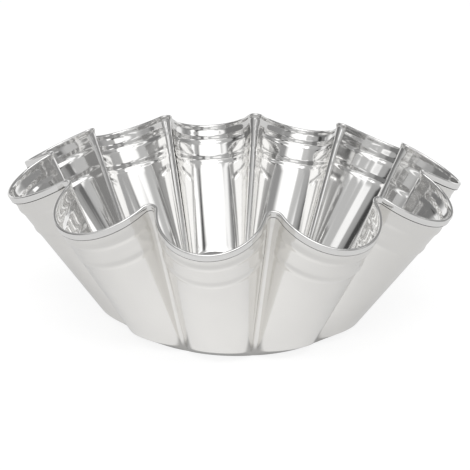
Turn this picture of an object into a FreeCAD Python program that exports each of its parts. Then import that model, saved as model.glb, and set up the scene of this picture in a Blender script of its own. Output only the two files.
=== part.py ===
import FreeCAD, Part
import math
import os

# Deep fluted tart tin, pressed from one sheet of tinplate.
# Millimetres, +Z up. The origin is the middle of the flat base, on its underside.
# One flute faces -Y. Radii and heights are those of the outer face of the sheet.

# Driving dimensions
flutes = 11
sheet = 0.45
height = 81.5

# The rim, seen from above, and how far it dips from the ridges down to the crests
rim_crest_radius = 109.5
rim_ridge_radius = 89.5
rim_dip = 12.5
rim_dip_straightness = 0.82

# The foot, where the wall turns under towards the base
foot_crest_radius = 67.0
foot_ridge_radius = 57.0
foot_crest_height = 7.0
foot_ridge_height = 3.0

base_radius = 55.0

# Bend of the sheet between two flutes, seen from outside
groove_radius = 1.2

# The rim is folded over outward to this depth
hem_depth = 3.0

# Two half-round beads, measured down the wall from the rim
upper_bead_distance = 8.8
lower_bead_distance = 21.0
bead_width = 4.6
bead_height = 0.7

# Narrow flats that draw the round of a lobe and of a groove
lobe_flats = 16
groove_flats = 4

# How far the wall's straight lines crowd towards the grooves at the foot
foot_crowding = 0.45
foot_crowding_near_crest = 0.4

# Angle from the middle of a flute to the middle of the groove beside it
half_pitch = math.pi / flutes


def lobe_and_groove(crest_radius, ridge_radius):
    """Plan of one flute: a round lobe that runs tangent into the small arc of each groove.

    Gives the lobe's radius and centre, the groove's centre, and how far the lobe turns.
    """
    groove_centre = ridge_radius + groove_radius
    across = groove_centre * math.cos(half_pitch)
    beside = groove_centre * math.sin(half_pitch)
    lobe_radius = (
        ((crest_radius - across) ** 2 + beside**2 - groove_radius**2)
        / (2 * (crest_radius - across + groove_radius))
    )
    lobe_centre = crest_radius - lobe_radius
    lobe_turn = math.atan2(beside, across - lobe_centre)
    return lobe_radius, lobe_centre, groove_centre, lobe_turn


def plan_point(crest_radius, ridge_radius, along):
    """Point of a flute's plan outline.

    Along is 0 at the crest, 1 where the lobe meets its groove and 2 in the middle of that groove,
    and it is negative on the flute's other side.
    """
    lobe_radius, lobe_centre, groove_centre, lobe_turn = lobe_and_groove(crest_radius, ridge_radius)
    if abs(along) <= 1:
        turn = lobe_turn * along
        return lobe_centre + lobe_radius * math.cos(turn), lobe_radius * math.sin(turn)
    turn = math.pi + half_pitch + (lobe_turn - half_pitch) * (2 - abs(along))
    x = groove_centre * math.cos(half_pitch) + groove_radius * math.cos(turn)
    y = groove_centre * math.sin(half_pitch) + groove_radius * math.sin(turn)
    return x, math.copysign(y, along)


def share_of_depth(x, y, crest_radius, ridge_radius):
    """0 at the radius of the ridges and 1 at the radius of the crests."""
    return (math.hypot(x, y) - ridge_radius) / (crest_radius - ridge_radius)


def rim_point(along):
    """The rim is trimmed to a scallop: it dips from the ridges down to the crests."""
    x, y = plan_point(rim_crest_radius, rim_ridge_radius, along)
    share = share_of_depth(x, y, rim_crest_radius, rim_ridge_radius)
    bow = rim_dip_straightness * share + (1 - rim_dip_straightness) * share**2
    return FreeCAD.Vector(x, y, height - rim_dip * bow)


def crowded(along):
    """Where on the foot a straight line of the wall ends.

    The lobes are shallower there than at the rim, and this keeps the sheet from twisting.
    """
    if abs(along) >= 1:
        return along
    room = 1 - along**2
    return along * (1 + foot_crowding * room + foot_crowding_near_crest * room**2)


def foot_point(along):
    """The wall's lower edge, which rises a little from the ridges out to the crests."""
    x, y = plan_point(foot_crest_radius, foot_ridge_radius, crowded(along))
    share = share_of_depth(x, y, foot_crest_radius, foot_ridge_radius)
    return FreeCAD.Vector(x, y, foot_ridge_height + (foot_crest_height - foot_ridge_height) * share)


def base_point(along):
    """The edge of the flat round base, straight inward of the foot."""
    foot = foot_point(along)
    inward = base_radius / math.hypot(foot.x, foot.y)
    return FreeCAD.Vector(foot.x * inward, foot.y * inward, 0)


def wall_point(along, distance):
    """Point of the wall this far below the rim, on its straight line down to the foot."""
    rim = rim_point(along)
    return rim + (foot_point(along) - rim).normalize() * distance


def outward(point_at, along, down):
    """Unit normal, out of the tin, of the face that runs down from the curve point_at."""
    step = 1e-4
    sideways = point_at(along + step) - point_at(along - step)
    return down.cross(sideways).normalize()


def wall_outward(along, distance):
    def level(beside):
        return wall_point(beside, distance)
    return outward(level, along, foot_point(along) - rim_point(along))


def underside_outward(along):
    return outward(foot_point, along, base_point(along) - foot_point(along))


def wall_station(distance, proud):
    """Curve round the wall at one distance below the rim, standing proud of its outer face."""
    def point_at(along):
        return wall_point(along, distance) + wall_outward(along, distance) * proud
    return point_at


def inner_corner(point, normal, next_normal):
    """Inner side of the sheet where two of its faces meet in an edge."""
    return point - (normal + next_normal) * (sheet / (1 + normal.dot(next_normal)))


def inner_foot(along):
    wall_length = (foot_point(along) - rim_point(along)).Length
    return inner_corner(foot_point(along), wall_outward(along, wall_length), underside_outward(along))


def inner_base(along):
    return inner_corner(base_point(along), underside_outward(along), FreeCAD.Vector(0, 0, -1))


def hem():
    """Outer stations of the folded rim: its top, its lower edge, and the wall under that edge."""
    return [wall_station(0, sheet), wall_station(hem_depth, sheet), wall_station(hem_depth, 0)]


def bead(distance, face):
    """Stations of a bead pressed outward, on the outer face or on the inner one."""
    bead_radius = (bead_width**2 / 4 + bead_height**2) / (2 * bead_height)
    stations = []
    for part_of_width in (-1 / 2, -1 / 6, 1 / 6, 1 / 2):
        across = bead_width * part_of_width
        rise = bead_height - bead_radius + math.sqrt(bead_radius**2 - across**2)
        stations.append(wall_station(distance + across, face + rise))
    return stations


def flute_points(point_at):
    """One flute's stretch of a station: its lobe, then the groove between it and the next flute."""
    points = []
    for index in range(lobe_flats):
        points.append(point_at(2 * index / lobe_flats - 1))
    for index in range(groove_flats + 1):
        along = 1 + 2 * index / groove_flats
        if along <= 2:
            points.append(point_at(along))
        else:
            points.append(next_flute(point_at(along - 4)))
    return points


def next_flute(point):
    turn = FreeCAD.Rotation(FreeCAD.Vector(0, 0, 1), 360 / flutes)
    return turn.multVec(point)


def skin(stations):
    """One flute's stretch of a skin, in flats from each station to the next.

    Each flat is folded along one diagonal, since the wall turns a little on its way down.
    """
    faces = []
    lines = [flute_points(station) for station in stations]
    for upper, lower in zip(lines, lines[1:]):
        for index in range(lobe_flats + groove_flats):
            corners = [upper[index], lower[index], lower[index + 1], upper[index + 1]]
            if past_the_middle(index):
                corners = corners[1:] + corners[:1]
            faces.append(flat_face(corners[:3]))
            faces.append(flat_face([corners[2], corners[3], corners[0]]))
    return Part.makeCompound(faces)


def past_the_middle(index):
    """The folds on the two sides of a lobe, and of a groove, mirror each other."""
    if index < lobe_flats:
        return index >= lobe_flats / 2
    return index - lobe_flats >= groove_flats / 2


def flat_face(points):
    return Part.Face(Part.makePolygon(points + [points[0]]))


def round_the_tin(shape):
    """One copy of a flute's shape for each flute, the first facing -Y."""
    copies = []
    for index in range(flutes):
        copy = shape.copy()
        copy.rotate(FreeCAD.Vector(0, 0, 0), FreeCAD.Vector(0, 0, 1), index * 360 / flutes - 90)
        copies.append(copy)
    return copies


def flat_base(point_at):
    """The flat of the base, within the edge that the flutes' stretches make together."""
    stretches = round_the_tin(Part.makePolygon(flute_points(point_at)))
    return Part.Face(Part.Wire([edge for stretch in stretches for edge in stretch.Edges]))


def tart_tin():
    outer = hem() + bead(upper_bead_distance, 0) + bead(lower_bead_distance, 0)
    outer += [foot_point, base_point]
    inner = [wall_station(0, -sheet)] + bead(upper_bead_distance, -sheet)
    inner += bead(lower_bead_distance, -sheet) + [inner_foot, inner_base]
    rim_top = [inner[0], outer[0]]
    faces = [flat_base(base_point), flat_base(inner_base)]
    for stations in (outer, inner, rim_top):
        for stretch in round_the_tin(skin(stations)):
            faces += stretch.Faces
    shell = Part.makeShell(faces)
    shell.sewShape()
    return Part.makeSolid(shell)


os.makedirs("parts", exist_ok=True)
tin = tart_tin()
tin.exportStep("parts/fluted_tin.step")
print("valid:", tin.isValid(), "  volume, mm3:", round(tin.Volume), "  size:", tin.BoundBox)
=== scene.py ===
# %% [markdown]
# # A deep fluted baking tin
# The real tin is pressed from one sheet of tinplate, so the whole lesson is about one skin:
# how to draw a fluted wall with formulas, how to fold its rim, and how to light bright metal.
# It could be pulled into shape by hand from a cylinder, but formulas keep the flutes even.
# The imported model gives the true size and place. It is loaded first and is never changed.

# %% Load the frame
import bpy
import math
import numpy as np
from mathutils import Matrix, Vector


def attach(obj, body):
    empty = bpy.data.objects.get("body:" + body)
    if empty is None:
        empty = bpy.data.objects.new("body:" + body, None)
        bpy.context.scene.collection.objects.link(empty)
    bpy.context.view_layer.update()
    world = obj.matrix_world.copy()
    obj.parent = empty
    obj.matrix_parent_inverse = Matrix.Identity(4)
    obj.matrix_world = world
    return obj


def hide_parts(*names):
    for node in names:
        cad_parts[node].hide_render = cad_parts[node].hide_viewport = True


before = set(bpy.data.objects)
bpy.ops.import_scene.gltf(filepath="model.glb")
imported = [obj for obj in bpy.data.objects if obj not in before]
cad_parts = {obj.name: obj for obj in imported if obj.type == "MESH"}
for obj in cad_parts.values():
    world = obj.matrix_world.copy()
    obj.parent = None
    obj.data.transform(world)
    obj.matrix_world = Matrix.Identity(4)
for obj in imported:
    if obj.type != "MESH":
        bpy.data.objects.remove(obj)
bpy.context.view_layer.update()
mm = 0.001

# %% [markdown]
# ## The sizes of the tin
# These are the tin's driving sizes. They are the same as in the solid model, apart from the
# beads and the bends, which are a little softer here. They could be measured on the loaded
# mesh, but named sizes are easier to read and to change. Radii and heights are those of the
# sheet's outer face. Flutes are counted round the axis, and one of them faces -Y.

# %% Sizes
flutes = 11
sheet = 0.45 * mm
height = 81.5 * mm

rim_crest_radius = 109.5 * mm
rim_ridge_radius = 89.5 * mm
rim_dip = 12.5 * mm
rim_dip_straightness = 0.82

foot_crest_radius = 67.0 * mm
foot_ridge_radius = 57.0 * mm
foot_crest_height = 7.0 * mm
foot_ridge_height = 3.0 * mm
foot_crowding = 0.45
foot_crowding_near_crest = 0.4

base_radius = 55.0 * mm

hem_depth = 3.0 * mm
bead_distances = (8.8 * mm, 21.0 * mm)
bead_width = 5.6 * mm
bead_height = 0.5 * mm

bend_radius = 2.0 * mm
bend_radius_at_rim = 3.4 * mm
bend_radius_at_foot = 1.5 * mm

half_pitch = math.pi / flutes
print("flutes:", flutes, "  across the crests, mm:", round(2 * rim_crest_radius / mm, 1),
      "  high:", round(height / mm, 1))

# %% [markdown]
# ## The plan of one flute
# Seen from above, a flute is a round lobe that runs into a tight bend beside its neighbour.
# It could be drawn as a curve object, but a formula is easier to reuse at the rim and at the
# foot. The place on the outline is one number, `along`: 0 at the crest, 1 where the lobe ends,
# 2 in the middle of the bend. Whole arrays go through at once, which is fast.

# %% Plan of a flute
def plan(crest_radius, ridge_radius, bend, along):
    """Points (x, y) of a flute that faces +X. Bend is the radius of the bend at its sides."""
    bend_centre = ridge_radius + bend
    across = bend_centre * math.cos(half_pitch)
    beside = bend_centre * math.sin(half_pitch)
    lobe_radius = (
        ((crest_radius - across) ** 2 + beside**2 - bend**2) / (2 * (crest_radius - across + bend))
    )
    lobe_centre = crest_radius - lobe_radius
    lobe_turn = np.arctan2(beside, across - lobe_centre)
    on_lobe = lobe_turn * along
    in_bend = math.pi + half_pitch + (lobe_turn - half_pitch) * (2 - abs(along))
    x = np.where(abs(along) <= 1, lobe_centre + lobe_radius * np.cos(on_lobe),
                 across + bend * np.cos(in_bend))
    y = np.where(abs(along) <= 1, lobe_radius * np.sin(on_lobe),
                 np.sign(along) * (beside + bend * np.sin(in_bend)))
    return x, y


crest_end_bend = np.array([0.0, 1.0, 2.0])
radii = np.hypot(*plan(rim_crest_radius, rim_ridge_radius, bend_radius, crest_end_bend))
print("rim's radius at the crest, the lobe's end and the bend, mm:", np.round(radii / mm, 1))

# %% [markdown]
# ## From the rim to the foot
# The rim is cut to a scallop, so each of its points has a height of its own. Straight lines
# join it to the foot, where the lobes are shallower. The foot's points crowd a little towards
# the bends, which keeps the wall from twisting, as a real sheet would. A loft between two
# curve objects would give much the same wall, but here every later row can follow its lines.

# %% Rim, foot and base
def stacked(x, y, z):
    return np.stack([x, y, z], axis=-1)


def share_of_depth(x, y, crest_radius, ridge_radius):
    """0 at the radius of the ridges and 1 at the radius of the crests."""
    return (np.hypot(x, y) - ridge_radius) / (crest_radius - ridge_radius)


def rim(along, bend=bend_radius):
    x, y = plan(rim_crest_radius, rim_ridge_radius, bend, along)
    share = share_of_depth(x, y, rim_crest_radius, rim_ridge_radius)
    bow = rim_dip_straightness * share + (1 - rim_dip_straightness) * share**2
    return stacked(x, y, height - rim_dip * bow)


def foot(along):
    room = np.clip(1 - along**2, 0, 1)
    crowded = along * (1 + foot_crowding * room + foot_crowding_near_crest * room**2)
    x, y = plan(foot_crest_radius, foot_ridge_radius, bend_radius_at_foot, crowded)
    share = share_of_depth(x, y, foot_crest_radius, foot_ridge_radius)
    return stacked(x, y, foot_ridge_height + (foot_crest_height - foot_ridge_height) * share)


def base_edge(along):
    """The edge of the flat round base, straight inward of the foot."""
    point = foot(along)
    inward = base_radius / np.hypot(point[:, 0], point[:, 1])
    return stacked(point[:, 0] * inward, point[:, 1] * inward, np.zeros(len(along)))


print("rim's height at the same three places, mm:", np.round(rim(crest_end_bend)[:, 2] / mm, 1))
print("foot's height there, mm:", np.round(foot(crest_end_bend)[:, 2] / mm, 1))

# %% [markdown]
# ## The wall
# The doubled sheet of the folded rim can't bend as tightly as the wall, so each bend opens out
# towards the rim. That gives the ridges inside their blunt tops. A bevel modifier could round
# the bends too, but a width that changes on the way down would need a weight on every edge.

# %% Wall
rim_flare_depth = 15 * mm


def unit(vectors):
    return vectors / np.linalg.norm(vectors, axis=-1, keepdims=True)


def ease(value, low, high):
    """0 up to low and 1 from high on, with a soft change between them."""
    share = np.clip((value - low) / (high - low), 0, 1)
    return share * share * (3 - 2 * share)


def wall(along, distance):
    """Points at a distance below the rim, on the straight lines down to the foot."""
    opened = 1 - ease(distance, 0, rim_flare_depth)
    start = rim(along, bend_radius + (bend_radius_at_rim - bend_radius) * opened)
    return start + unit(foot(along) - start) * np.reshape(distance, (-1, 1))


def across_from(curve, along, down):
    """Unit normal, out of the tin, of the face that runs down from a curve."""
    step = 1e-4
    sideways = curve(along + step) - curve(along - step)
    return unit(np.cross(down, sideways))


lower = wall(crest_end_bend, np.full(3, bead_distances[1]))
print("radius at the lower bead, mm:", np.round(np.hypot(lower[:, 0], lower[:, 1]) / mm, 1))

# %% [markdown]
# ## The columns
# One flute gets its columns of points: more of them where the sheet bends tightly, because
# bright metal shows every flat. The lobe's own columns are even. A subdivision modifier could
# smooth a coarser mesh, but it would also melt the small forms of the folded rim.

# %% Columns of one flute
lobe_columns = 38
bend_columns = 7
left_bend = np.linspace(-2, -1, bend_columns, endpoint=False)
lobe = np.linspace(-1, 1, lobe_columns, endpoint=False)
right_bend = np.linspace(1, 2, bend_columns, endpoint=False)
along = np.concatenate([left_bend, lobe, right_bend])
wall_length = np.linalg.norm(foot(along) - rim(along), axis=1)
print("columns in a flute:", len(along), "  wall length, mm:",
      round(wall_length.min() / mm, 1), "to", round(wall_length.max() / mm, 1))

# %% [markdown]
# ## Waves in the sheet
# A pressed sheet is never quite flat, so a gentle wave moves both its faces together. It dies
# away at the rim, which the hem stiffens. Bright metal needs only hundredths of a millimetre.
# A displace modifier could do it, but it would push the two faces apart.

# %% Waves
wave_height = 0.012 * mm
wave_start = 4 * mm
wave_full = 26 * mm
wave_unit = 10 * mm


def sheet_wave(points):
    """A smooth unevenness, the same on both faces: a few long waves that cross each other."""
    x, y, z = points.T / wave_unit
    wave = np.sin(1.9 * x + 0.7 * z + 0.4) * np.sin(1.7 * y - 0.9 * z + 1.1)
    wave += 0.6 * np.sin(3.1 * x - 2.3 * y + 1.3 * z + 2.0)
    wave += 0.4 * np.sin(2.2 * x + 3.7 * y - 2.9 * z)
    return wave / 2


waves = sheet_wave(foot(along)) * wave_height
print("waves at one flute's foot, mm:", np.round([waves.min() / mm, waves.max() / mm], 4))

# %% [markdown]
# ## One row of the skin
# A row follows the wall at one distance below the rim, and stands proud of the sheet's outer
# face by some amount. Rows of this kind draw the hem, the beads and both faces of the wall. An
# array modifier could turn one flute into eleven, but the waves make them slightly different.

# %% Rows on the wall
slope_step = 0.01 * mm


def turned(points, flute):
    """The points of a flute that faces +X, moved to their own place round the tin."""
    turn = 2 * math.pi * flute / flutes - math.pi / 2
    c, s = math.cos(turn), math.sin(turn)
    return points @ np.array([[c, s, 0], [-s, c, 0], [0, 0, 1]])


def wall_row(distance, proud):
    """All round the tin, at a distance below the rim."""
    distance = np.broadcast_to(distance, along.shape)

    def level(places):
        return wall(places, distance)
    down = wall(along, distance + slope_step) - wall(along, distance - slope_step)
    normal = across_from(level, along, down)
    points = level(along)
    row = []
    for flute in range(flutes):
        place = turned(points, flute)
        wave = sheet_wave(place) * wave_height * ease(distance, wave_start, wave_full)
        row.append(place + turned(normal, flute) * (proud + wave)[:, None])
    return np.concatenate(row)


def plain_row(points):
    """All round the tin, from one flute's points."""
    return np.concatenate([turned(points, flute) for flute in range(flutes)])


around = len(plain_row(rim(along)))
print("points in a row:", around)

# %% [markdown]
# ## The folded rim
# The sheet is turned over outward and pressed down, which makes the edge safe and stiff. It isn't
# quite flat: its top is a small roll, and its cut edge stands a little off the wall, so a thin gap
# shows under it. The gap, the wall just under the hem, the cut edge and a little of the hem's face
# above it are painted near-black as shade. The rows go up into that gap, back out round the cut
# edge, up the hem's face and over the roll. A tube laid on the rim would be easier, but the real
# hem is the same sheet. The roll rises a little more at the crests than at the ridges.

# %% Sizes of the hem
hem_gap = 0.26 * mm
hem_gap_depth = 1.0 * mm
hem_gap_round = 0.1 * mm
hem_edge_radius = sheet / 2
hem_outside = hem_gap + 2 * hem_edge_radius
hem_roll_radius = 0.72 * mm
hem_roll_lift = 0.45 * mm
hem_roll_end = 2.6 * mm
hem_print_height = 0.07 * mm
hem_print_above = 0.4 * mm
hem_print_below = 0.5 * mm
hem_roll_inward = 2 * (hem_roll_radius - sheet) - hem_print_height
print("the hem stands off by, mm:", round(hem_outside / mm, 2),
      "  its roll reaches inward by:", round(hem_roll_inward / mm, 2))

# %% Rows of the hem
edge_rows = 7
roll_rows = 9
hem_face_shares = (0.3, 0.65)
painted_shade_rise = 0.2 * mm


def gap_and_edge_rows():
    """From inside the gap under the hem, down to its cut edge and round it."""
    top_of_gap = hem_depth - hem_gap_depth
    side_of_gap = top_of_gap + hem_gap_round
    rows = [wall_row(side_of_gap, 0), wall_row(top_of_gap, hem_gap / 2),
            wall_row(side_of_gap, hem_gap)]
    edge_middle = hem_gap + hem_edge_radius
    for turn in np.linspace(0, math.pi, edge_rows):
        rows.append(wall_row(hem_depth - hem_edge_radius * (1 - math.sin(turn)),
                             edge_middle - hem_edge_radius * math.cos(turn)))
    # This last row reaches a little up the hem's face, so that a thin strip above the cut edge is
    # painted near-black as shade too.
    rows.append(wall_row(hem_depth - hem_edge_radius - painted_shade_rise, hem_outside))
    return rows


def face_and_roll_rows():
    """Up the hem's outer face, over its roll and down to the inner face of the sheet."""
    rows = []
    for share in hem_face_shares:
        rows.append(wall_row(hem_depth * (1 - share), hem_outside + (sheet - hem_outside) * share))
    roll_middle = sheet - hem_roll_radius
    x, y = plan(rim_crest_radius, rim_ridge_radius, bend_radius, along)
    lift = hem_roll_lift * share_of_depth(x, y, rim_crest_radius, rim_ridge_radius)
    for turn in np.linspace(0, math.pi, roll_rows):
        rows.append(wall_row(hem_roll_radius * (1 - math.sin(turn)) - lift,
                             roll_middle + hem_roll_radius * math.cos(turn)))
    return rows


def inside_of_hem(distance, face):
    """The roll and the cut edge show on the inner face as a soft swelling and a faint step."""
    if face == 0:
        return 0
    roll = hem_roll_inward * (1 - ease(distance, hem_roll_radius, hem_roll_end))
    step_start, step_end = hem_depth - hem_print_above, hem_depth + hem_print_below
    step = hem_print_height * (1 - ease(distance, step_start, step_end))
    return -roll - step


shade_painted_rows = gap_and_edge_rows()
bright_rows = face_and_roll_rows()
print("rows in the gap and on the cut edge:", len(shade_painted_rows), "  on the face and the roll:",
      len(bright_rows))

# %% [markdown]
# ## The beads
# Two half-round beads are rolled outward below the rim. They stiffen the wall, and they cross
# the bends too, where they show as small notches. A cosine gives each a round top and soft
# edges. A bump in the material would be quicker, but real beads show in the outline as well.

# %% Beads
bead_share_in_bend = 0.15
bead_fade_start = 0.6
bead_fade_end = 1.05


def bead_rise(distance):
    """How far the beads lift the sheet. They are full on the lobes and faint in the bends."""
    full = 1 - (1 - bead_share_in_bend) * ease(abs(along), bead_fade_start, bead_fade_end)
    rise = np.zeros(len(along))
    for middle in bead_distances:
        place = np.clip((distance - middle) / bead_width, -0.5, 0.5)
        rise = rise + bead_height * full * (0.5 + 0.5 * np.cos(2 * math.pi * place))
    return rise


print("bead's rise at the crest and in the bend, mm:",
      np.round(bead_rise(bead_distances[0])[[bend_columns + lobe_columns // 2, 0]] / mm, 3))

# %% [markdown]
# ## The rows of one face
# Each face of the sheet has close rows over the beads and wide ones on the plain wall below.
# The bright inside gets more of them than the satin outside, as a mirror shows more.

# %% Rows of one face
foot_bend = 1.1 * mm


def row_distances(top, gap_rows, bead_rows):
    """Distances below the rim from the face's top down past the lower bead."""
    marks = [top]
    for middle in bead_distances:
        start, end = middle - bead_width / 2, middle + bead_width / 2
        marks += list(np.linspace(marks[-1], start, gap_rows + 1)[1:])
        marks += list(np.linspace(start, end, bead_rows + 1)[1:])
    return marks


def face_rows(top, face, gap_rows, bead_rows, plain_rows):
    """Rows of one face of the sheet, with its beads, and the plain wall down to the foot."""
    marks = row_distances(top, gap_rows, bead_rows)
    rows = [wall_row(d, face + bead_rise(d) + inside_of_hem(d, face)) for d in marks]
    beads_end = marks[-1]
    for share in np.linspace(0, 1, plain_rows + 1)[1:-1]:
        rows.append(wall_row(beads_end + (wall_length - foot_bend - beads_end) * share, face))
    return rows


below_hem = 0.2 * mm
below_roll = 0.25 * mm
outer_wall = face_rows(hem_depth + below_hem, 0, gap_rows=3, bead_rows=9, plain_rows=14)
inner_wall = face_rows(hem_roll_radius + below_roll, -sheet,
                       gap_rows=9, bead_rows=12, plain_rows=18)
print("rows on the outer wall:", len(outer_wall), "  on the inner wall:", len(inner_wall))

# %% [markdown]
# ## The foot and the base
# At the foot the wall turns under, and at the base it turns flat. Both turns are small bends,
# and each is drawn between two directions with its corner as the control point of a curve. A
# bevel modifier could round them, but it would have to be kept off the hem's edges.

# %% Rows of the foot and the base
base_bend = 0.9 * mm
bend_rows = 6
base_rings = (0.97, 0.9, 0.78, 0.62, 0.42, 0.2)


def corner(point, normal, next_normal, inner):
    """The corner itself on the outer face, or its mitre on the inner face."""
    if not inner:
        return point
    together = 1 + np.sum(normal * next_normal, axis=1, keepdims=True)
    return point - (normal + next_normal) * (sheet / together)


def bend(before, middle, after, size):
    """Rows round a bend: a curve that leaves one straight line and joins the next."""
    start = middle + unit(before - middle) * size
    end = middle + unit(after - middle) * size
    rows = []
    for share in np.linspace(0, 1, bend_rows):
        rows.append(start * (1 - share) ** 2 + middle * 2 * share * (1 - share) + end * share**2)
    return rows


def foot_and_base_rows(inner):
    foot_level = foot(along)
    base_level = base_edge(along)
    wall_normal = across_from(foot, along, foot_level - rim(along))
    under_normal = across_from(foot, along, base_level - foot_level)
    flat_normal = np.tile([0, 0, -1.0], (len(along), 1))
    foot_corner = corner(foot_level, wall_normal, under_normal, inner)
    base_corner = corner(base_level, under_normal, flat_normal, inner)
    middle = base_corner * [0, 0, 1]
    wall_top = rim(along) - wall_normal * (sheet if inner else 0)
    rows = bend(wall_top, foot_corner, base_corner, foot_bend)
    rows.append((foot_corner + base_corner) / 2)
    rows += bend(foot_corner, base_corner, middle, base_bend)
    for share in base_rings:
        rows.append(base_corner * [share, share, 1])
    return [plain_row(row) for row in rows]


outer_foot = foot_and_base_rows(inner=False)
inner_foot = foot_and_base_rows(inner=True)
print("rows of the foot and the base, on each face:", len(outer_foot))

# %% [markdown]
# ## One closed skin
# The rows are stitched in order: from the middle of the underside out to the foot, up the
# outer face, over the hem, down the inner face and back to the middle. That gives one closed
# mesh, as the real tin is one closed sheet. A solidify modifier on a single skin would be
# quicker, but it can't fold a hem.

# %% Stitch the rows
outer_rows = (outer_wall + outer_foot)[::-1]
rows = outer_rows + shade_painted_rows + bright_rows + inner_wall + inner_foot


def stitched_faces():
    """Quads between neighbouring rows, all round the tin."""
    quads = []
    column = np.arange(around)
    beside = (column + 1) % around
    for index in range(len(rows) - 1):
        low, high = index * around, (index + 1) * around
        quads.append(np.stack([low + column, low + beside, high + beside, high + column], axis=1))
    return np.concatenate(quads).tolist()


def middle_faces(row_index, centre, flipped):
    """A fan that closes the base at its middle."""
    start = row_index * around
    fan = []
    for column in range(around):
        edge = [start + column, start + (column + 1) % around]
        fan.append([centre] + (edge[::-1] if flipped else edge))
    return fan


points = np.concatenate(rows)
under_middle = len(points)
faces = stitched_faces()
faces += middle_faces(0, under_middle, flipped=True)
faces += middle_faces(len(rows) - 1, under_middle + 1, flipped=False)
points = np.concatenate([points, [[0, 0, 0], [0, 0, sheet]]])
triangles = sum(len(face) - 2 for face in faces)
print("rows:", len(rows), "  points:", len(points), "  triangles:", triangles)

# %% The mesh
tin_mesh = bpy.data.meshes.new("tin")
tin_mesh.from_pydata(points.tolist(), [], faces)
tin_mesh.validate()
tin = bpy.data.objects.new("tin", tin_mesh)
bpy.context.scene.collection.objects.link(tin)
tin_mesh.shade_smooth()
print("the tin, mm:", [round(v / mm, 1) for v in tin.dimensions])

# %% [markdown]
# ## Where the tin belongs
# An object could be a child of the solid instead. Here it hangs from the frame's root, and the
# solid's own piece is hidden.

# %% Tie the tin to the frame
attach(tin, "root")
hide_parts("fluted_tin")
print("tied to the frame:", tin.name)

# %% [markdown]
# ## Tinplate, inside and out
# Both faces are the same bright tin. The inside is a mirror, and the outside has a fine satin
# grain. Each finish is one material: full metal, its own roughness, and a faint grain. A
# picture of brushed metal would need seams somewhere on the skin, and noise in the object's
# own space needs none.

# %% A material of tinplate
smudge_share = 0.95
cloud_scale, cloud_detail = 60, 4
grain_scale, grain_detail = 900, 3


def tinplate(name, colour, roughness, roughness_spread, grain_height):
    """Bright tin with a little unevenness in its tone and shine, and a fine grain."""
    material = bpy.data.materials.new(name)
    material.use_nodes = True
    nodes, links = material.node_tree.nodes, material.node_tree.links
    shader = nodes["Principled BSDF"]
    shader.inputs["Metallic"].default_value = 1.0
    place = nodes.new("ShaderNodeTexCoord")
    cloud = nodes.new("ShaderNodeTexNoise")
    cloud.inputs["Scale"].default_value = cloud_scale
    cloud.inputs["Detail"].default_value = cloud_detail
    tone = nodes.new("ShaderNodeMix")
    tone.data_type = "RGBA"
    tone.inputs["A"].default_value = (*colour, 1)
    tone.inputs["B"].default_value = (*[part * smudge_share for part in colour], 1)
    links.new(cloud.outputs["Fac"], tone.inputs["Factor"])
    links.new(tone.outputs["Result"], shader.inputs["Base Color"])
    shine = nodes.new("ShaderNodeMapRange")
    shine.inputs["To Min"].default_value = roughness - roughness_spread
    shine.inputs["To Max"].default_value = roughness + roughness_spread
    grain = nodes.new("ShaderNodeTexNoise")
    grain.inputs["Scale"].default_value = grain_scale
    grain.inputs["Detail"].default_value = grain_detail
    bump = nodes.new("ShaderNodeBump")
    bump.inputs["Strength"].default_value = 1.0
    bump.inputs["Distance"].default_value = grain_height
    links.new(place.outputs["Object"], cloud.inputs["Vector"])
    links.new(place.outputs["Object"], grain.inputs["Vector"])
    links.new(cloud.outputs["Fac"], shine.inputs["Value"])
    links.new(shine.outputs["Result"], shader.inputs["Roughness"])
    links.new(grain.outputs["Fac"], bump.inputs["Height"])
    links.new(bump.outputs["Normal"], shader.inputs["Normal"])
    return material


# %% The three finishes
outside = tinplate("satin_tin", (0.864, 0.853, 0.832),
                   roughness=0.15, roughness_spread=0.03, grain_height=0.004 * mm)
inside = tinplate("bright_tin", (0.88, 0.875, 0.865),
                  roughness=0.09, roughness_spread=0.02, grain_height=0.002 * mm)
# The third finish is painted shade: a near-black metal for the gap under the hem and its cut edge,
# where shade falls.
painted_fold_shade = tinplate("painted_shade_fold", (0.06, 0.06, 0.06),
                   roughness=0.5, roughness_spread=0.05, grain_height=0.004 * mm)
finishes = (outside, inside, painted_fold_shade)
for material in finishes:
    tin_mesh.materials.append(material)
print("finishes:", [material.name for material in finishes])

# %% [markdown]
# ## The finish of each face
# The outer wall is satin. The gap under the hem, the wall just under it, the cut edge and a thin
# strip of the hem's face are painted near-black as shade. The rest is bright, from the hem's face
# on. Faces could be picked by hand in edit mode, but the row that a face lies in already tells its
# finish.

# %% Finish by row
first_painted_shade = len(outer_rows) - 1
first_bright = first_painted_shade + len(shade_painted_rows)


def finish_of(row):
    """Number of the finish: 0 outside, 2 for the painted shade in the gap and round the cut edge,
    and 1 beyond it.
    """
    if row < first_painted_shade:
        return 0
    return 2 if row < first_bright else 1


material_of_face = []
for index in range(len(rows) - 1):
    material_of_face += [finish_of(index)] * around
material_of_face += [0] * around + [1] * around
tin_mesh.polygons.foreach_set("material_index", material_of_face)
print("faces by finish:", [material_of_face.count(index) for index in range(len(finishes))])

# %% [markdown]
# ## The camera
# It stands where the photograph was taken from: a little above the tin, about half a metre
# away, and rolled by one degree. It could be moved by hand until the picture fits, but angles
# and a distance are easier to compare and to keep. Its axes go into a matrix.

# %% Camera
camera_azimuth = math.radians(6.511)
camera_elevation = math.radians(19.35)
camera_roll = math.radians(1.123)
camera_distance = 532.6 * mm
aim = Vector((0, 0, 39.95 * mm))


def direction(azimuth, elevation):
    """Unit vector from the tin towards a place. Azimuth 0 is the front, and +90 degrees is +X."""
    return Vector((
        math.sin(azimuth) * math.cos(elevation),
        -math.cos(azimuth) * math.cos(elevation),
        math.sin(elevation),
    ))


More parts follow.
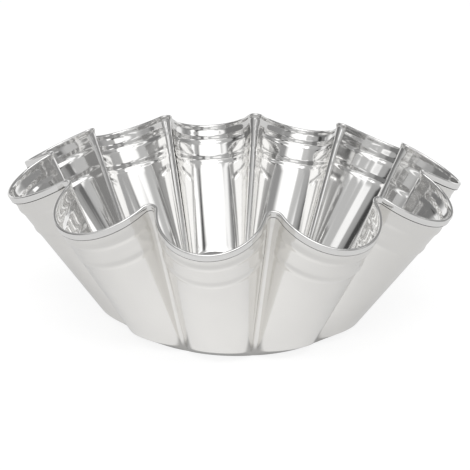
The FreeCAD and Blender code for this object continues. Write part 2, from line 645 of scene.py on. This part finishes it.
camera_data = bpy.data.cameras.new("camera")
camera_data.sensor_width = 36
camera_data.lens = 82.01
camera_data.clip_start = 0.01
camera = bpy.data.objects.new("camera", camera_data)
bpy.context.scene.collection.objects.link(camera)
back = direction(camera_azimuth, camera_elevation)
level_right = Vector((math.cos(camera_azimuth), math.sin(camera_azimuth), 0))
level_up = back.cross(level_right)
right = level_right * math.cos(camera_roll) + level_up * math.sin(camera_roll)
up = back.cross(right)
turn = Matrix((right, up, back)).transposed()
camera.matrix_world = Matrix.Translation(aim + back * camera_distance) @ turn.to_4x4()
bpy.context.scene.camera = camera
print("camera at, mm:", [round(v / mm, 1) for v in camera.matrix_world.translation])

# %% [markdown]
# ## Small helpers for nodes
# The floor and the room both need numbers that are worked out by nodes. They could be laid out
# by hand in the shader editor. In a script, three helpers keep the links short to read.

# %% Helpers for nodes
def put(tree, socket, value):
    """Set a socket to a number, or link it to another node's output."""
    if isinstance(value, (int, float)):
        socket.default_value = value
    else:
        tree.links.new(value, socket)


def number(tree, operation, first, second=0.0):
    """Output of a math node whose inputs are numbers or other outputs."""
    node = tree.nodes.new("ShaderNodeMath")
    node.operation = operation
    put(tree, node.inputs[0], first)
    put(tree, node.inputs[1], second)
    return node.outputs[0]


def mapped(tree, value, start, end, low, high, change="SMOOTHSTEP"):
    """Low at the start and high at the end. Both may be numbers or other outputs."""
    node = tree.nodes.new("ShaderNodeMapRange")
    node.interpolation_type = change
    put(tree, node.inputs["Value"], value)
    put(tree, node.inputs["From Min"], start)
    put(tree, node.inputs["From Max"], end)
    put(tree, node.inputs["To Min"], low)
    put(tree, node.inputs["To Max"], high)
    return node.outputs["Result"]


# %% [markdown]
# ## The floor
# The tin stands on a plain white table. For the camera, and for what the metal mirrors, part of
# its white is its own glow, so that it stays white, and the rest still takes the tin's shadow.
# A stronger lamp would whiten the table too, but it would burn out the metal.

# %% Floor
floor_size = 30.0
floor_drop = 0.02 * mm

floor_mesh = bpy.data.meshes.new("floor")
half = floor_size / 2
floor_mesh.from_pydata([(-half, -half, 0), (half, -half, 0), (half, half, 0), (-half, half, 0)],
                       [], [(0, 1, 2, 3)])
floor = bpy.data.objects.new("floor", floor_mesh)
bpy.context.scene.collection.objects.link(floor)
floor.location.z = -floor_drop
print("floor, m:", floor_size)

# %% [markdown]
# ## The table in the metal
# The satin outside mirrors the table close to the tin: bright in front, where the soft box
# lights it, and dark underneath. A spot lamp could light that pool, but it would show in the
# picture as well. So the glow that only the metal sees is drawn by the distance from its middle.

# %% Pool of light
mirrored_glow = 0.44
mirrored_pool = 0.68
pool_middle = (-5 * mm, -68 * mm, 0)
pool_stretch = (0.7, 1, 1)
pool_radius = 80 * mm
shade_start = 58.5 * mm
shade_end = 62 * mm
shade_level = 0.4


def vector(tree, operation, first, second=(0, 0, 0)):
    """A vector math node between an output and a fixed vector."""
    node = tree.nodes.new("ShaderNodeVectorMath")
    node.operation = operation
    tree.links.new(first, node.inputs[0])
    node.inputs[1].default_value = second
    return node


def pool_of_light(tree):
    """The table's painted glow in the metal: a painted pool of light in front of the tin and
    painted shade under it.
    """
    place = tree.nodes.new("ShaderNodeTexCoord").outputs["Object"]
    offset = vector(tree, "SUBTRACT", place, pool_middle)
    stretched = vector(tree, "MULTIPLY", offset.outputs["Vector"], pool_stretch)
    from_pool = vector(tree, "LENGTH", stretched.outputs["Vector"]).outputs["Value"]
    from_axis = vector(tree, "LENGTH", place).outputs["Value"]
    pool = mapped(tree, from_pool, 0, pool_radius, mirrored_pool, mirrored_glow)
    shade = mapped(tree, from_axis, shade_start, shade_end, shade_level, 1)
    return number(tree, "MULTIPLY", pool, shade)


# %% [markdown]
# ## One table for three kinds of ray
# The table has one look for the camera and one for the metal, and for all other rays it is a
# plain matt surface that the lamp lights. Two tables, each hidden from some rays, could do the
# same. One material is easier to keep in step: Light Path tells the rays apart, and two mix
# shaders choose between the three looks.

# %% Material of the floor
floor_colour = 0.8
seen_glow = 0.84
seen_colour = 0.25
mirrored_colour = 0.32


def sheen_of(tree, colour, strength):
    """A matt surface that also glows a little. Strength is a number or an output."""
    matt = tree.nodes.new("ShaderNodeBsdfDiffuse")
    matt.inputs["Color"].default_value = (colour, colour, colour, 1)
    glow = tree.nodes.new("ShaderNodeEmission")
    put(tree, glow.inputs["Strength"], strength)
    both = tree.nodes.new("ShaderNodeAddShader")
    tree.links.new(matt.outputs[0], both.inputs[0])
    tree.links.new(glow.outputs[0], both.inputs[1])
    return both.outputs[0]


def either(tree, share, first, second):
    """The first shader where the share is 0, and the second where it is 1."""
    mix = tree.nodes.new("ShaderNodeMixShader")
    tree.links.new(share, mix.inputs["Fac"])
    tree.links.new(first, mix.inputs[1])
    tree.links.new(second, mix.inputs[2])
    return mix.outputs[0]


def floor_material():
    material = bpy.data.materials.new("white_table")
    material.use_nodes = True
    tree = material.node_tree
    tree.nodes.clear()
    path = tree.nodes.new("ShaderNodeLightPath")
    mirrored = number(tree, "MAXIMUM", path.outputs["Is Glossy Ray"],
                      path.outputs["Is Transmission Ray"])
    as_lit = sheen_of(tree, floor_colour, 0)
    in_metal = sheen_of(tree, mirrored_colour, pool_of_light(tree))
    in_picture = sheen_of(tree, seen_colour, seen_glow)
    not_seen = either(tree, mirrored, as_lit, in_metal)
    out = tree.nodes.new("ShaderNodeOutputMaterial")
    tree.links.new(either(tree, path.outputs["Is Camera Ray"], not_seen, in_picture),
                   out.inputs["Surface"])
    return material


table = floor_material()
floor_mesh.materials.append(table)
print("nodes in the table's material:", len(table.node_tree.nodes))

# %% [markdown]
# ## The room
# Bright metal has no look of its own: it shows the room. So the room is drawn with care, as a
# grey studio with soft boxes and dark cards, each a soft-edged patch of sky. A panorama picture
# would do the same, but here each patch can be moved by itself. A patch is given by its azimuth
# from the front, its elevation and how bright it looks, 1 being white. A patch further down the
# list covers those above it.

# %% Patches of the room
room_grey_low = 0.40
room_grey_high = 0.50
room_grey_low_end = 25
room_grey_high_start = 60
# name, azimuth from and to, elevation from and to, softness of the edges both ways, level
patches = [
    ("ceiling_back", -182, 182, 64, 92, 1, 5, 0.3),
    ("ceiling_front", -92, 92, 64, 92, 8, 5, 2.2),
    ("wall_back_left", -182, -120, 14, 64, 8, 3, 0.3),
    ("wall_back_right", 120, 182, 14, 64, 8, 3, 0.3),
    ("backdrop_left", -182, -120, -3, 14, 8, 3, 1.0),
    ("backdrop_right", 120, 182, -3, 14, 8, 3, 1.0),
    ("table_front", -30, 30, -2, 42, 6, 5, 0.55),
    ("window", -20, 7, 17, 26, 4, 1.5, 1.1),
    ("window_back_left", -155, -106, 17, 33, 5, 3, 0.9),
    ("wall_left", -60, -30, 44, 70, 6, 5, 0.62),
    ("card_left", -110, -52, -2, 34, 5, 4, 0.21),
    ("card_left_edge", -105, -85, 27, 35, 3, 2, 0.06),
    ("card_right", 36, 58, -2, 41, 4, 3, 0.33),
    ("card_right_low", 58, 112, -2, 26, 4, 3, 0.3),
    ("card_right_edge", 57, 71, 34, 43, 2, 2, 0.07),
    ("card_right_line", 34, 50, 23, 30, 2, 2, 0.15),
    ("box_front_low", -10, 20, 36, 44, 3, 2, 1.2),
    ("strip_right", 74, 92, 28, 38, 2, 2, 1.3),
    ("lamp_right", 17, 33, 25, 33, 2, 2, 1.2),
    ("gleam_right", 43, 54, 20, 25, 2, 2, 0.75),
    ("strip_left", -62, -28, 36, 43, 3, 2, 1.1),
    ("box_front", -34, 64, 42, 60, 4, 3, 1.3),
]
print("patches:", len(patches))

# %% [markdown]
# ## The room as a world
# Real cards and lamps round the tin would have to be hidden from the camera one by one. The
# world's own nodes can draw all of them: they turn the direction of a ray into two angles, and
# each patch then lays its level over the ones before. The camera itself sees plain white, and
# so does the metal in the direction of the backdrop.

# %% Nodes of the room
def between(tree, value, low, high, soft):
    """1 between low and high and 0 beyond, with soft edges."""
    above = mapped(tree, value, low - soft, low + soft, 0, 1)
    below = mapped(tree, value, high - soft, high + soft, 1, 0)
    return number(tree, "MULTIPLY", above, below)


def room():
    world = bpy.data.worlds.new("room")
    world.use_nodes = True
    tree = world.node_tree
    place = tree.nodes.new("ShaderNodeTexCoord")
    parts = tree.nodes.new("ShaderNodeSeparateXYZ")
    tree.links.new(place.outputs["Generated"], parts.inputs[0])
    forward = number(tree, "MULTIPLY", parts.outputs["Y"], -1)
    azimuth = number(tree, "DEGREES", number(tree, "ARCTAN2", parts.outputs["X"], forward))
    elevation = number(tree, "DEGREES", number(tree, "ARCSINE", parts.outputs["Z"]))

    level = mapped(tree, elevation, room_grey_low_end, room_grey_high_start,
                   room_grey_low, room_grey_high)
    for name, az_from, az_to, el_from, el_to, az_soft, el_soft, patch_level in patches:
        across = between(tree, azimuth, az_from, az_to, az_soft)
        upward = between(tree, elevation, el_from, el_to, el_soft)
        covered = number(tree, "MULTIPLY", across, upward)
        covered.node.label = name
        level = mapped(tree, covered, 0, 1, level, patch_level, "LINEAR")

    path = tree.nodes.new("ShaderNodeLightPath")
    background = tree.nodes["Background"]
    background.inputs["Color"].default_value = (1, 1, 1, 1)
    put(tree, background.inputs["Strength"],
        mapped(tree, path.outputs["Is Camera Ray"], 0, 1, level, 1, "LINEAR"))
    return world


bpy.context.scene.world = room()
print("nodes in the room:", len(bpy.context.scene.world.node_tree.nodes))

# %% [markdown]
# ## One soft lamp
# A wide soft lamp above the camera adds to the room's light, so that the table gets a faint
# shadow. A sun would be simpler, but its shadow is hard. The metal mirrors the room's own soft
# box in the lamp's place, and so the lamp itself is hidden there.

# %% Soft lamp
lamp_azimuth = math.radians(10)
lamp_elevation = math.radians(51)
lamp_distance = 1.6

lamp_data = bpy.data.lights.new("soft_lamp", "AREA")
lamp_data.shape = "RECTANGLE"
lamp_data.size = 1.2
lamp_data.size_y = 0.5
lamp_data.energy = 7
lamp = bpy.data.objects.new("soft_lamp", lamp_data)
bpy.context.scene.collection.objects.link(lamp)
lamp_way = direction(lamp_azimuth, lamp_elevation)
lamp.location = aim + lamp_way * lamp_distance
lamp.rotation_euler = lamp_way.to_track_quat("Z", "Y").to_euler()
lamp.visible_camera = False
lamp.visible_glossy = False
print("lamp at, m:", [round(v, 2) for v in lamp.location])

# %% [markdown]
# ## Picture settings
# Colours are shown as they are written. A film look would be softer, but it would turn the white
# floor grey.

# %% Finish
bpy.context.scene.view_settings.view_transform = "Standard"
